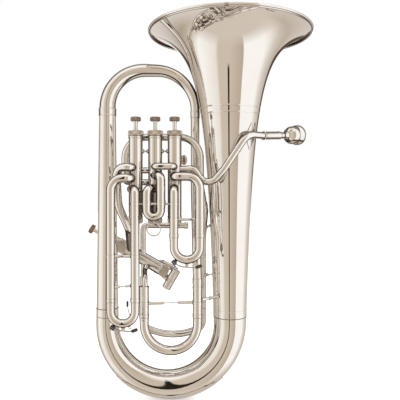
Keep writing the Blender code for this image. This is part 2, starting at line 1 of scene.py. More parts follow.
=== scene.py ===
"""The looks of a silver-plated compensating euphonium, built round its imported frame.

Shapes are worked out in millimetres from the foot of the bell's axis, BASE, along the frame's
own axes. Shape.place turns them into metres and moves them to their place in the frame.
"""
import json
import math

import bmesh
import bpy
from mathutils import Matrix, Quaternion, Vector

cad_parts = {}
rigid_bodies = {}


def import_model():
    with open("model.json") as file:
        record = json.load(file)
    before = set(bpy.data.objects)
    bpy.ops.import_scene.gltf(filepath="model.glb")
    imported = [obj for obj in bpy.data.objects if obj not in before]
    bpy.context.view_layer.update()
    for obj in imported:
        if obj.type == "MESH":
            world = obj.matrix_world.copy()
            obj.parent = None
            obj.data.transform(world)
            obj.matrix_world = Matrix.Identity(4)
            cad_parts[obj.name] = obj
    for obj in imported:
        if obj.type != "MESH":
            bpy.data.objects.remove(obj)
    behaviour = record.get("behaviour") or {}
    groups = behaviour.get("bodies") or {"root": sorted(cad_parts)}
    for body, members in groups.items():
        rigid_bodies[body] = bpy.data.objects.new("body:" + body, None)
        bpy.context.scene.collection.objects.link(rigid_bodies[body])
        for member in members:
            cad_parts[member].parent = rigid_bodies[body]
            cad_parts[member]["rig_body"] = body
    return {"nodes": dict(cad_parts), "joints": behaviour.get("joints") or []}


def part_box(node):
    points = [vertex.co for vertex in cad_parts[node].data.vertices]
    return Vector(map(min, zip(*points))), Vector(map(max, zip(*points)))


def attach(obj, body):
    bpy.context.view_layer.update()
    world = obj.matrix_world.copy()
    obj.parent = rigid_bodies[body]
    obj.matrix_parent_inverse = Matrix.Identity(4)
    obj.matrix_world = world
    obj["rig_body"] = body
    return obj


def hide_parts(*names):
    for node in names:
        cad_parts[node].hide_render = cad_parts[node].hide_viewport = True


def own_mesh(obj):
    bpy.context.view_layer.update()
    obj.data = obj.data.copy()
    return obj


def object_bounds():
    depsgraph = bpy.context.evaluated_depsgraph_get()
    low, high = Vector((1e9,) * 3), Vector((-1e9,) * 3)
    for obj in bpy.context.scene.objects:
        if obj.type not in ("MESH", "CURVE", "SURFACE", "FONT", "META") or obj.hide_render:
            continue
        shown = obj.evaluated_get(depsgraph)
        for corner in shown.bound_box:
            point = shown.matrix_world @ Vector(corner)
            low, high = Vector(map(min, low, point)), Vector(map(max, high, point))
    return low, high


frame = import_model()
cad_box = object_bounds()

MM = 0.001
UP = Vector((0, 0, 1))
DOWN = -UP
RIGHT = Vector((1, 0, 0))
BACK = Vector((0, 1, 0))
FINE_STEP = math.radians(6)
TUBE_SIDES = 32
WIDE_SIDES = 72
BELL_SIDES = 160
SHARP = math.radians(38)
WALL = 0.8


# ---------------------------------------------------------------- frame sizes

BELL_TOP = 686
RIM_LOW, RIM_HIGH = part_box("bell")
BASE = Vector(((RIM_LOW.x + RIM_HIGH.x) / 2, (RIM_LOW.y + RIM_HIGH.y) / 2, RIM_HIGH.z - BELL_TOP * MM)) / MM


def box(node):
    """Lowest and highest corner of a CAD node, in millimetres from BASE."""
    low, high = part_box(node)
    return low / MM - BASE, high / MM - BASE


def middle(node):
    low, high = box(node)
    return (low + high) / 2


def joint_axis(name):
    return Vector(next(j["axis"] for j in frame["joints"] if j["name"] == name)).normalized()


def joint_place(name):
    return Vector(next(j["pos_m"] for j in frame["joints"] if j["name"] == name)) / MM - BASE


# ---------------------------------------------------------------- mesh making

def circle(centre, across, along, radius, sides, ribs=0, depth=0.0):
    """A ring of points. ribs and depth raise it into a straight knurl."""
    points = []
    for i in range(sides):
        turn = 2 * math.pi * i / sides
        reach = radius + depth * (0.5 - 0.5 * math.cos(ribs * turn))
        points.append(centre + (across * math.cos(turn) + along * math.sin(turn)) * reach)
    return points


def level(turn):
    """The level direction at an angle in radians, from +X towards +Y."""
    return Vector((math.cos(turn), math.sin(turn), 0))


def round_wire(ring, thick):
    """The section of a wire ring, as (radius, height) pairs."""
    turns = [math.radians(30 * k) for k in range(12)]
    return [(ring + thick * math.cos(turn), thick * math.sin(turn)) for turn in turns]


def square_to(way):
    """Two directions square to way and to each other."""
    across = BACK.cross(way)
    if across.length < 0.5:
        across = UP.cross(way)
    across.normalize()
    return across, way.cross(across).normalized()


def rounded_path(corners, bends, step=FINE_STEP):
    """Stations (point, direction) along the corners, each inner corner rounded."""
    corners = [Vector(corner) for corner in corners]
    stations = [(corners[0], (corners[1] - corners[0]).normalized())]
    for before, corner, after, bend in zip(corners, corners[1:], corners[2:], bends):
        way_in = (corner - before).normalized()
        way_out = (after - corner).normalized()
        angle = way_in.angle(way_out)
        axis = way_in.cross(way_out).normalized()
        start = corner - way_in * bend * math.tan(angle / 2)
        centre = corner + (way_out - way_in).normalized() * bend / math.cos(angle / 2)
        steps = max(1, math.ceil(angle / step - 0.01))
        for k in range(steps + 1):
            turn = Quaternion(axis, angle * k / steps)
            point = centre + turn @ (start - centre)
            if (point - stations[-1][0]).length > 0.05:
                stations.append((point, turn @ way_in))
    if (corners[-1] - stations[-1][0]).length > 0.05:
        stations.append((corners[-1], (corners[-1] - corners[-2]).normalized()))
    return stations


def frames_along(stations):
    before = stations[0][1]
    across = square_to(before)[0]
    frames = []
    for point, way in stations:
        across = (before.rotation_difference(way) @ across).normalized()
        frames.append((point, across, way.cross(across)))
        before = way
    return frames


def shares(stations):
    """How far along the path each station lies, from 0 to 1."""
    run = [0.0]
    for (a, _), (b, _) in zip(stations, stations[1:]):
        run.append(run[-1] + (b - a).length)
    return [part / run[-1] for part in run]


def seated(ring, way, seat):
    """Slides each point of a tube's end ring along way until it lies on a cylinder (point, axis, radius)."""
    origin, axis, radius = seat
    flat_way = way - axis * way.dot(axis)
    moved = []
    for point in ring:
        off = point - origin
        off -= axis * off.dot(axis)
        a, b, c = flat_way.length_squared, off.dot(flat_way), off.length_squared - radius ** 2
        inside = b * b - a * c
        shift = (-b - math.sqrt(inside)) / a if inside > 0 else -b / a
        moved.append(point + way * shift)
    return moved


def soften(profile, size=0.3):
    """The profile with each inner corner rounded off."""
    points = [Vector(p) for p in profile]
    softer = [points[0]]
    for a, p, b in zip(points, points[1:], points[2:]):
        start = p + (a - p) * min(0.45, size / max((a - p).length, 1e-6))
        end = p + (b - p) * min(0.45, size / max((b - p).length, 1e-6))
        softer += [start, start / 4 + p / 2 + end / 4, end]
    return softer + [points[-1]]


class Shape:
    """Gathers the surfaces of one piece, in millimetres, and makes it an object."""

    def __init__(self):
        self.points = []
        self.faces = []
        self.paints = []

    def skin(self, rings, paint=0, ends="cap"):
        """A surface through rings; its ends are capped, or the last ring joins the first."""
        first, count = len(self.points), len(rings[0])
        for ring in rings:
            self.points += ring
        pairs = [(k, k + 1) for k in range(len(rings) - 1)]
        if ends == "join":
            pairs.append((len(rings) - 1, 0))
        made = len(self.faces)
        for low, high in pairs:
            for i in range(count):
                j = (i + 1) % count
                a, b = first + low * count, first + high * count
                self.faces.append((a + i, a + j, b + j, b + i))
        if ends == "cap":
            last = first + (len(rings) - 1) * count
            self.faces.append(tuple(range(first, first + count)))
            self.faces.append(tuple(range(last, last + count)))
        self.paints += [paint] * (len(self.faces) - made)
        return self

    def tube(self, corners, bends, radius, end_radius=None, seats=(None, None), wall=WALL,
             sides=TUBE_SIDES):
        """A lined tube; a seat cuts an end to sit on a cylinder."""
        end_radius = end_radius or radius
        stations = rounded_path(corners, bends)
        frames, parts = frames_along(stations), shares(stations)
        layers = []
        for inset in (0, wall):
            rings = [
                circle(*f, radius + (end_radius - radius) * part - inset, sides)
                for f, part in zip(frames, parts)
            ]
            if seats[0]:
                rings[0] = seated(rings[0], -stations[0][1], seats[0])
            if seats[1]:
                rings[-1] = seated(rings[-1], stations[-1][1], seats[1])
            layers.append(rings)
        return self.skin(layers[0] + layers[1][::-1], ends="join")

    def turned(self, profile, origin, way, paint=0, sides=48, ends="cap", ribs=0, depth=0.0, band=None):
        """A body of revolution: (radius, distance along way). A band of heights can be knurled."""
        across, along = square_to(way)
        rings = []
        for radius, height in profile:
            knurled = ribs and band[0] <= height <= band[1]
            raised = (ribs, depth) if knurled else (0, 0.0)
            rings.append(circle(origin + way * height, across, along, radius, sides, *raised))
        return self.skin(rings, paint, ends)

    def collar(self, centre, way, radius, length, raise_by=0.9, sides=TUBE_SIDES):
        """A ferrule round a tube, with a bead at each end."""
        half, bead = length / 2, min(1.2, length / 4)
        top = radius + raise_by
        profile = [
            (radius - 0.3, -half),
            (top, -half),
            (top, -half + bead),
            (top - raise_by * 0.35, -half + bead * 1.4),
            (top - raise_by * 0.35, half - bead * 1.4),
            (top, half - bead),
            (top, half),
            (radius - 0.3, half),
        ]
        return self.turned(soften(profile, 0.35), centre, way, 0, sides, "join")

    def rod(self, start, end, thick, thin, part=0.32):
        """A rod whose two end parts are thicker than its middle."""
        way = end - start
        length = way.length
        half = [(thick * 1.25, 0), (thick * 1.25, 0.6), (thick, 1.2), (thick, length * part)]
        half.append((thin, length * part + 0.8))
        profile = half + [(r, length - h) for r, h in half[::-1]]
        return self.turned(soften(profile, 0.25), start, way.normalized(), 0, 24)

    def place(self, name, node, paints=None):
        """Makes the object and lets it ride on the node's body."""
        data = bpy.data.meshes.new(name)
        data.from_pydata([(point + BASE) * MM for point in self.points], [], self.faces)
        for paint in paints or [silver()]:
            data.materials.append(paint)
        for face, paint in zip(data.polygons, self.paints):
            face.material_index = paint
        mesh = bmesh.new()
        mesh.from_mesh(data)
        bmesh.ops.recalc_face_normals(mesh, faces=mesh.faces)
        mesh.to_mesh(data)
        mesh.free()
        data.shade_smooth()
        data.set_sharp_from_angle(angle=SHARP)
        piece = bpy.data.objects.new(name, data)
        bpy.context.scene.collection.objects.link(piece)
        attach(piece, frame["nodes"][node]["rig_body"])
        return piece


def show(shape, node, paints=None):
    """Places a shape that stands for a CAD node."""
    piece = shape.place(node + "_shape", node, paints)
    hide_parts(node)
    return piece


def add(shape, name, node, paints=None):
    """Places a shape that rides with a CAD node and stands for none."""
    piece = shape.place(name, node, paints)


# ---------------------------------------------------------------- materials

def new_material(name):
    """A fresh node material: its nodes, its links and its Principled shader."""
    material = bpy.data.materials.new(name)
    material.use_nodes = True
    tree = material.node_tree
    return material, tree, tree.nodes["Principled BSDF"]


def texture(tree, kind, scale, **inputs):
    """A procedural texture in object coordinates."""
    node = tree.nodes.new(kind)
    place = tree.nodes.new("ShaderNodeTexCoord")
    tree.links.new(place.outputs["Object"], node.inputs["Vector"])
    node.inputs["Scale"].default_value = scale
    for key, value in inputs.items():
        node.inputs[key].default_value = value
    return node


def ramp(tree, source, stops):
    """A colour ramp: stops are (place, grey or colour)."""
    node = tree.nodes.new("ShaderNodeValToRGB")
    elements = node.color_ramp.elements
    while len(elements) < len(stops):
        elements.new(0.5)
    for element, (place, colour) in zip(elements, stops):
        element.position = place
        if isinstance(colour, (int, float)):
            colour = (colour,) * 3
        element.color = (*colour, 1)
    tree.links.new(source, node.inputs["Fac"])
    return node.outputs["Color"]


def blend_colours(tree, factor, first, second):
    node = tree.nodes.new("ShaderNodeMix")
    node.data_type = "RGBA"
    for socket, value in ((node.inputs["Factor"], factor), (node.inputs[6], first), (node.inputs[7], second)):
        if isinstance(value, bpy.types.NodeSocket):
            tree.links.new(value, socket)
        elif isinstance(value, (int, float)):
            socket.default_value = value
        else:
            socket.default_value = (*value, 1)
    return node.outputs[2]


def bumped(tree, shader, height, strength, distance=0.0002):
    node = tree.nodes.new("ShaderNodeBump")
    node.inputs["Strength"].default_value = strength
    node.inputs["Distance"].default_value = distance
    tree.links.new(height, node.inputs["Height"])
    tree.links.new(node.outputs["Normal"], shader.inputs["Normal"])


def metal(name, colour, tarnish, roughness, spread, bump, tarnish_amount=0.35, painted_edge_shade=0.0):
    """Plated metal: clouds of tarnish, tarnish in creases, fine scratches and hand marks.

    The last argument paints dark shade into the tone where a round surface turns away, as between close
    tubes: a painted dark reflection along the edges. Above 0.5 it also paints shade on surfaces that face
    down, and any value above 0 adds painted shade in crevices and between close parts, where an
    ambient-occlusion node finds nearby surfaces.
    """
    if name in bpy.data.materials:
        return bpy.data.materials[name]
    material, tree, shader = new_material(name)
    shader.inputs["Metallic"].default_value = 1
    clouds = texture(tree, "ShaderNodeTexNoise", 22, Detail=5, Roughness=0.6)
    cloud_mask = ramp(tree, clouds.outputs["Fac"], [(0.42, 0), (0.72, tarnish_amount)])
    geometry = tree.nodes.new("ShaderNodeNewGeometry")
    edge_mask = ramp(tree, geometry.outputs["Pointiness"], [(0.40, 0.45), (0.49, 0)])
    tone = blend_colours(tree, cloud_mask, colour, tarnish)
    tone = blend_colours(tree, edge_mask, tone, tarnish)
    if painted_edge_shade:
        # Painted dark reflection and shade: the tone turns dark brown where the surface turns away from the
        # eye.
        facing = tree.nodes.new("ShaderNodeLayerWeight")
        facing.inputs["Blend"].default_value = 0.5
        turned_away = ramp(tree, facing.outputs["Facing"], [
            (0.34, 0), (0.46, painted_edge_shade * 0.85), (0.74, painted_edge_shade), (0.90, painted_edge_shade * 0.7), (0.98, 0.2),
        ])
        tone = blend_colours(tree, turned_away, tone, (0.07, 0.045, 0.03))
        if painted_edge_shade > 0.5:
            # Painted shade: the tone turns dark on surfaces that face down.
            lean = tree.nodes.new("ShaderNodeSeparateXYZ")
            tree.links.new(geometry.outputs["Normal"], lean.inputs["Vector"])
            drop = maths(tree, "MULTIPLY", lean.outputs["Z"], -1)
            painted_underside_shade = ramp(tree, drop, [(0.52, 0), (0.57, painted_edge_shade), (0.68, painted_edge_shade), (0.74, 0)])
            tone = blend_colours(tree, painted_underside_shade, tone, (0.05, 0.03, 0.02))
        # Painted shade: dark brown tone in crevices and between close parts, where an ambient-occlusion node
        # finds nearby surfaces.
        hollow = tree.nodes.new("ShaderNodeAmbientOcclusion")
        hollow.samples = 4
        hollow.inputs["Distance"].default_value = 0.016
        shade = ramp(tree, hollow.outputs["AO"], [(0.12, 0.9), (0.38, 0.55), (0.62, 0.0)])
        tone = blend_colours(tree, shade, tone, (0.10, 0.055, 0.035))
    tree.links.new(tone, shader.inputs["Base Color"])
    hands = texture(tree, "ShaderNodeTexNoise", 60, Detail=6, Roughness=0.7)
    rough = ramp(tree, hands.outputs["Fac"], [(0.3, roughness), (0.75, roughness + spread)])
    tree.links.new(rough, shader.inputs["Roughness"])
    scratches = texture(tree, "ShaderNodeTexNoise", 900, Detail=3, Roughness=0.5)
    ripple = texture(tree, "ShaderNodeTexNoise", 28, Detail=1, Roughness=0.3)
    height = blend_colours(tree, 0.9, scratches.outputs["Color"], ripple.outputs["Color"])
    bumped(tree, shader, height, bump)
    return material


def silver():
    # Strong painted dark edges, with painted shade below and in crevices.
    return metal("polished_plate", (0.95, 0.92, 0.88), (0.84, 0.77, 0.68), 0.03, 0.04, 0.05, 0.3, 0.95)


def wide_silver():
    # Faint painted dark edges and painted shade in crevices.
    return metal("polished_bell_plate", (0.95, 0.92, 0.88), (0.86, 0.80, 0.72), 0.03, 0.03, 0.03, 0.3, 0.2)


def satin():
    return metal("satin_trim", (0.74, 0.67, 0.59), (0.48, 0.40, 0.32), 0.22, 0.16, 0.25, 0.6)


# Dark paint for thin rings that stand for the shadow line at the ends of a ferrule: a painted shadow.
def seam_shadow():
    return metal("seam_shadow", (0.14, 0.09, 0.07), (0.06, 0.04, 0.03), 0.4, 0.2, 0.2)


def bronzed():
    # Painted dark edges, with painted shade below and in crevices.
    return metal("button_trim", (0.40, 0.30, 0.23), (0.20, 0.14, 0.10), 0.28, 0.15, 0.2, 0.5, 0.7)


def nickel():
    return metal("lapped_nickel", (0.72, 0.71, 0.68), (0.55, 0.52, 0.47), 0.14, 0.10, 0.15)


def steel():
    return metal("drawn_spring_wire", (0.50, 0.50, 0.52), (0.30, 0.27, 0.24), 0.25, 0.15, 0.2)


def cork():
    """Grainy, matt, dark cork."""
    name = "water_key_cork"
    if name in bpy.data.materials:
        return bpy.data.materials[name]
    material, tree, shader = new_material(name)
    grain = texture(tree, "ShaderNodeTexVoronoi", 900)
    cloud = texture(tree, "ShaderNodeTexNoise", 300, Detail=6, Roughness=0.7)
    tone = blend_colours(tree, cloud.outputs["Fac"], (0.05, 0.035, 0.025), (0.015, 0.012, 0.01))
    tree.links.new(tone, shader.inputs["Base Color"])
    rough = ramp(tree, grain.outputs["Distance"], [(0.0, 0.75), (0.8, 0.95)])
    tree.links.new(rough, shader.inputs["Roughness"])
    shader.inputs["Sheen Weight"].default_value = 0.3
    bumped(tree, shader, grain.outputs["Distance"], 0.5, 0.0004)
    return material


def pearl():
    """The inlay of a finger button: a pale, slightly iridescent disc."""
    if "button_pearl" in bpy.data.materials:
        return bpy.data.materials["button_pearl"]
    material, tree, shader = new_material("button_pearl")
    swirl = texture(tree, "ShaderNodeTexNoise", 180, Detail=4, Roughness=0.5, Distortion=2.5)
    tone = ramp(
        tree, swirl.outputs["Fac"],
        [(0.3, (0.78, 0.74, 0.68)), (0.5, (0.93, 0.90, 0.86)), (0.7, (0.80, 0.80, 0.78))],
    )
    tree.links.new(tone, shader.inputs["Base Color"])
    rough = ramp(tree, swirl.outputs["Fac"], [(0.3, 0.14), (0.7, 0.28)])
    tree.links.new(rough, shader.inputs["Roughness"])
    shader.inputs["Coat Weight"].default_value = 0.6
    bumped(tree, shader, swirl.outputs["Fac"], 0.1)
    return material


# ---------------------------------------------------------------- main tube

BELL_FLARE = 22.8
BELL_LOW, BELL_HIGH = box("bell")
BELL_RADIUS = BELL_HIGH.x
RIM_BEAD = 2.2
BELL_WALL = 0.9
BELL_LINES = (540.4, 529.2)
BOW_CENTRE_Z = 142
BRANCH = middle("left_branch")
BRANCH_LOW, BRANCH_HIGH = box("left_branch")
BRANCH_FOOT_RADIUS = (BRANCH_HIGH.x - BRANCH_LOW.x) / 2
TOP_HIGH = box("top_bow")[1]
BRANCH_TOP_RADIUS = 15.2
RETURN_RADIUS = 8.4
RETURN_Y = 25
RETURN_X = TOP_HIGH.x - RETURN_RADIUS - 0.5


def bell_radius(height):
    """Outer radius of the bell: it falls with the square root of the distance from the rim."""
    depth = max(0, BELL_HIGH.z - 2 - height)
    return BELL_RADIUS * math.sqrt(BELL_FLARE / (depth + BELL_FLARE))


def on_bell(angle, height):
    """A point just inside the bell's wall, at an angle from +X towards +Y."""
    return level(math.radians(angle)) * (bell_radius(height) - 0.4) + UP * height


def make_bell():
    top = BELL_HIGH.z - 2
    deepest = top - BELL_LOW.z
    spread = math.log(1 + deepest / BELL_FLARE)
    depths = [BELL_FLARE * (math.exp(spread * k / 90) - 1) for k in range(2, 91)]
    for line in BELL_LINES:
        depths += [top - line + side for side in (-0.9, -0.45, 0.45, 0.9)]
    outer, inner = [], []
    for depth in sorted(depths, reverse=True):
        height = top - depth
        radius = bell_radius(height)
        slope = radius / (2 * (depth + BELL_FLARE))
        tilt = math.hypot(1, slope)
        groove = 0.35 if any(abs(height - line) < 0.6 for line in BELL_LINES) else 0
        outer.append((radius - groove, height))
        inner.append((radius - BELL_WALL / tilt, height + BELL_WALL * slope / tilt))
    bead_r, bead_z = BELL_RADIUS - RIM_BEAD, BELL_HIGH.z - RIM_BEAD
    bead = []
    for k in range(15):
        turn = math.radians(-110 + 250 * k / 14)
        bead.append((bead_r + RIM_BEAD * math.cos(turn), bead_z + RIM_BEAD * math.sin(turn)))
    shape = Shape().turned(outer + bead + inner[::-1], Vector(), UP, 0, BELL_SIDES, "join")
    show(shape, "bell", paints=[wide_silver()])
    wire = middle("bell_rim_wire")
    ring = box("bell_rim_wire")[1].x - 1.9
    wire_shape = Shape().turned(round_wire(ring, 1.5), Vector((0, 0, wire.z)), UP, 0, BELL_SIDES, "join")
    show(wire_shape, "bell_rim_wire")


def make_main_tube():
    foot_radius = bell_radius(BELL_LOW.z)
    half = -BRANCH.x / 2
    low = BOW_CENTRE_Z - half
    x = BRANCH.x
    bow = [(0, 0, BELL_LOW.z), (0, 0, low), (x, 0, low), (x, 0, BELL_LOW.z)]
    shape = Shape().tube(bow, [half, half], foot_radius, BRANCH_FOOT_RADIUS, sides=WIDE_SIDES)
    show(shape, "bottom_bow", paints=[wide_silver()])
    for node, radius in (("bell_ferrule", foot_radius), ("branch_ferrule", BRANCH_FOOT_RADIUS)):
        centre = middle(node)
        ferrule = Shape().collar(centre, UP, radius, 14, 0.45, WIDE_SIDES)
        # The thin dark rings at each end of the ferrule are painted shadow lines where it meets the tube.
        for height in (-8.2, 7.1):
            shadow_line = [(radius - 0.5, 0), (radius + 0.22, 0), (radius + 0.22, 0.9), (radius - 0.5, 0.9)]
            ferrule.turned(shadow_line, centre + UP * height, UP, 1, WIDE_SIDES, "join")
        show(ferrule, node, paints=[wide_silver(), seam_shadow()])
    branch = [(x, 0, BELL_LOW.z), (x, 0, BRANCH_HIGH.z)]
    shape = Shape().tube(branch, [], BRANCH_FOOT_RADIUS, BRANCH_TOP_RADIUS, sides=WIDE_SIDES)
    show(shape, "left_branch", paints=[wide_silver()])
    ferrule = Shape().collar(middle("top_bow_ferrule"), UP, BRANCH_TOP_RADIUS + 0.2, 14, 1.1, WIDE_SIDES)
    show(ferrule, "top_bow_ferrule")
    top = TOP_HIGH.z - 12.4
    bend = 72
    high = BRANCH_HIGH.z
    over = [(x, 0, high), (x, 0, top), (RETURN_X, RETURN_Y, top), (RETURN_X, RETURN_Y, high)]
    shape = Shape().tube(over, [bend, bend], BRANCH_TOP_RADIUS, RETURN_RADIUS, sides=WIDE_SIDES)
    show(shape, "top_bow")
    end_x = box("tuning_sleeves")[1].x - 8.6
    down = [
        (RETURN_X, RETURN_Y, BRANCH_HIGH.z + 2),
        (RETURN_X, RETURN_Y, 405),
        (end_x - 2, -30, 300),
        (end_x, -30, 222),
    ]
    shape = Shape().tube(down, [40, 40], RETURN_RADIUS - 0.2)
    shape.collar(Vector(down[0]) - UP * 8, UP, RETURN_RADIUS, 12, 0.8)
    shape.collar(Vector((end_x, -30, 226)), UP, RETURN_RADIUS, 9, 0.9)
    show(shape, "right_branch")


def make_bow_guard():
    """A thin plate round the underside of the bottom bow, its ends cut to a curve."""
    half = -BRANCH.x / 2
    foot_radius = bell_radius(BELL_LOW.z)
    straight = BELL_LOW.z - BOW_CENTRE_Z
    length = math.pi * half + 2 * straight
    rings = []
    for k in range(49):
        part = k / 48
        turn = math.radians(45 + 90 * part)
        share = (straight + turn * half) / length
        inside = foot_radius + (BRANCH_FOOT_RADIUS - foot_radius) * share + 0.05
        outward = Vector((math.cos(turn), 0, -math.sin(turn)))
        centre = Vector((BRANCH.x / 2, 0, BOW_CENTRE_Z)) + outward * half
        reach = math.radians(62) * math.sqrt(max(0.04, 1 - (2 * part - 1) ** 6))
        arc = [-reach + 2 * reach * i / 24 for i in range(25)]
        spokes = [outward * math.cos(a) + Vector((0, math.sin(a), 0)) for a in arc]
        ring = [centre + spoke * inside for spoke in spokes]
        ring += [centre + spoke * (inside + 1.1) for spoke in spokes[::-1]]
        rings.append(ring)
    show(Shape().skin(rings), "bow_guard", paints=[wide_silver()])


# ---------------------------------------------------------------- valves

CASING_RADIUS = (box("valve_casing_1")[1].x - box("valve_casing_1")[0].x) / 2


class Valve:
    """Where one valve stands: its foot, its axis and its length, read from the frame."""

    def __init__(self, number):
        self.number = number
        self.up = -joint_axis(f"press_valve_{number}")
        low, high = box(f"valve_casing_{number}")
        k = max(range(3), key=lambda i: abs(self.up[i]))
        across = 2 * CASING_RADIUS * math.sqrt(1 - self.up[k] ** 2)
        self.length = (high[k] - low[k] - across) / abs(self.up[k])
        self.foot = (low + high) / 2 - self.up * self.length / 2
        self.seat = (self.foot, self.up, CASING_RADIUS - 0.4)
        self.across = self.up.cross(BACK).normalized()
        self.across *= math.copysign(1, self.across.z)

    def port(self, angle, height, reach=CASING_RADIUS - 2):
        """A point by a front valve's wall, at an angle counted from +X towards +Y."""
        point = self.foot + level(math.radians(angle)) * reach
        point.z = height
        return point


VALVES = {number: Valve(number) for number in (1, 2, 3, 4)}


def make_valve(valve):
    label = f"_{valve.number}"
    length = valve.length
    foot, up = valve.foot, valve.up
    proud = CASING_RADIUS + 0.9
    casing = Shape()
    wall = [
        (10.6, 0), (CASING_RADIUS, 0), (CASING_RADIUS + 0.55, 0.2), (CASING_RADIUS + 0.55, 3.2),
        (CASING_RADIUS, 4), (CASING_RADIUS, length - 4.6), (proud, length - 4.0),
        (proud, length - 1.2), (CASING_RADIUS, length - 0.7), (CASING_RADIUS, length), (10.6, length),
    ]
    casing.turned(soften(wall), foot, up, 0, 64, "join")
    show(casing, "valve_casing" + label)

    cap = Shape()
    cap_radius, cap_top, hole = 14.0, length + 10, 4.1
    rim = cap_radius - 0.55
    skirt = [
        (hole, length + 0.4), (rim, length + 0.4), (rim, length + 1.6), (rim - 0.5, length + 2.0),
        (rim - 0.1, length + 2.4), (rim - 0.1, cap_top - 2.6), (rim - 0.5, cap_top - 2.2),
        (rim, cap_top - 1.7), (rim - 0.4, cap_top - 0.9), (rim - 3, cap_top - 0.3),
        (6.4, cap_top - 0.1), (6.0, cap_top), (hole, cap_top),
    ]
    cap.turned(skirt, foot, up, 0, 240, "join", 60, 0.55, (length + 2.3, cap_top - 2.5))
    show(cap, "top_cap" + label, paints=[satin()])

    base = Shape()
    knob = [
        (2.0, -10.9), (3.2, -10.6), (4.0, -9.4), (6.5, -9.2), (10.5, -9.9), (12.0, -9.4), (12.45, -8.4),
        (12.45, -6.9), (12.0, -6.5), (12.35, -6.1), (12.35, -2.0), (12.0, -1.6), (12.45, -1.2), (12.45, -0.4),
    ]
    if valve.number == 4:
        knob = [(radius, height * 1.45) for radius, height in knob]
    knurl = (-9, -2.7) if valve.number == 4 else (-6.2, -1.9)
    base.turned(knob, foot, up, 0, 240, "cap", 60, 0.5, knurl)
    show(base, "bottom_cap" + label, paints=[satin()])

    piston_top = length - 2
    body = Shape()
    plunger = [(9.2, piston_top - 1.5), (9.2, 36), (10.15, 36), (10.15, piston_top - 0.4), (9.6, piston_top)]
    body.turned(soften(plunger), foot, up)
    show(body, "piston" + label, paints=[nickel()])

    button_foot = cap_top + 16.5
    stem = Shape()
    rod = [
        (3.3, piston_top + 0.4), (3.3, cap_top - 1), (3.3, button_foot - 3), (3.8, button_foot - 1.6),
        (4.0, button_foot + 0.3),
    ]
    stem.turned(soften(rod, 0.35), foot, up, 2, 48)
    button = foot + up * button_foot
    disc = [
        (3.6, -0.4), (7.9, -0.3), (8.8, 0.4), (8.95, 1.4), (8.95, 5.4), (8.6, 6.6), (7.6, 7.3), (6.6, 6.9),
    ]
    stem.turned(soften(disc, 0.35), button, up, 0, 96, "cap", 48, 0.25, (1.2, 5.6))
    stem.turned([(6.6, 6.7), (6.6, 7.0), (5.0, 7.15), (0.4, 7.2)], button, up, 1, 48)
    show(stem, "finger_button" + label, paints=[bronzed(), pearl(), silver()])

    coil = Shape()
    turns, low, high = 7, 1.2, 34.8
    stations = []
    for k in range(turns * 20 + 1):
        turn = 2 * math.pi * k / 20
        spot = level(turn) * 8.2 + UP * (low + (high - low) * k / (turns * 20))
        heading = Vector((-math.sin(turn), math.cos(turn), 0))
        stations.append((spot, heading))
    tilt = UP.rotation_difference(up)
    rings = [circle(foot + tilt @ p, tilt @ a, tilt @ b, 0.7, 8) for p, a, b in frames_along(stations)]
    coil.skin(rings)
    piece = show(coil, "valve_spring" + label, paints=[steel()])
    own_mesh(piece)


def make_casing_braces():
    """Waisted links between the front casings, the fourth's collar and the first's thumb screw."""
    for left, right in ((2, 1), (3, 2)):
        a = VALVES[left].foot + RIGHT * (CASING_RADIUS - 0.3)
        b = VALVES[right].foot - RIGHT * (CASING_RADIUS - 0.3)
        a.z = b.z = 459
        length = b.x - a.x
        half = [(4.3, 0), (4.3, 0.8), (3.6, 1.6), (2.0, 3.2), (1.2, length / 2 - 0.6)]
        profile = half + [(r, length - h) for r, h in half[::-1]]
        link = Shape().turned(soften(profile), a, RIGHT, 0, 32)
        add(link, f"casing_brace_{left}_{right}", "bell")
    fourth = VALVES[4]
    wall = [
        (CASING_RADIUS - 0.3, 77), (13.4, 77), (13.9, 78), (13.9, 79.5), (13.2, 80.3), (13.2, 93.7),
        (13.9, 94.5), (13.9, 96), (13.4, 97), (CASING_RADIUS - 0.3, 97),
    ]
    collar = Shape().turned(wall, fourth.foot, fourth.up, 0, 240, "join", 60, 0.5, (80, 94))
    add(collar, "valve_4_collar", "bell", [satin()])
    first = VALVES[1]
    hub = first.port(35, 444, CASING_RADIUS - 0.5)
    way = Vector((0.82, 0.57, 0))
    knob = [(2.2, 0), (2.2, 5), (7.8, 5.4), (8.6, 6.2), (8.6, 9.2), (7.8, 10), (2, 10.2)]
    screw = Shape().turned(soften(knob, 0.5), hub, way, 0, 96, "cap", 30, 0.5, (6.0, 9.4))
    add(screw, "lyre_screw", "bell", [satin()])


# ---------------------------------------------------------------- slides

SLEEVE = 7.8
LINK_Z = 366.7
BOW = 7.4
INNER = 6.5
LAP = 6


class Pair:
    """The two legs of an upright slide: where they hang and where their sleeves end."""

    def __init__(self, node, bow=BOW):
        low, high = box(node)
        self.left = low.x + bow
        self.right = high.x - bow
        self.y = (low.y + high.y) / 2
        self.bottom = low.z + bow
        self.half = (self.right - self.left) / 2
        self.bow = bow

    def at(self, x, z):
        return Vector((x, self.y, z))

    def on_left(self, z):
        return self.at(self.left, z)

    def on_right(self, z):
        return self.at(self.right, z)


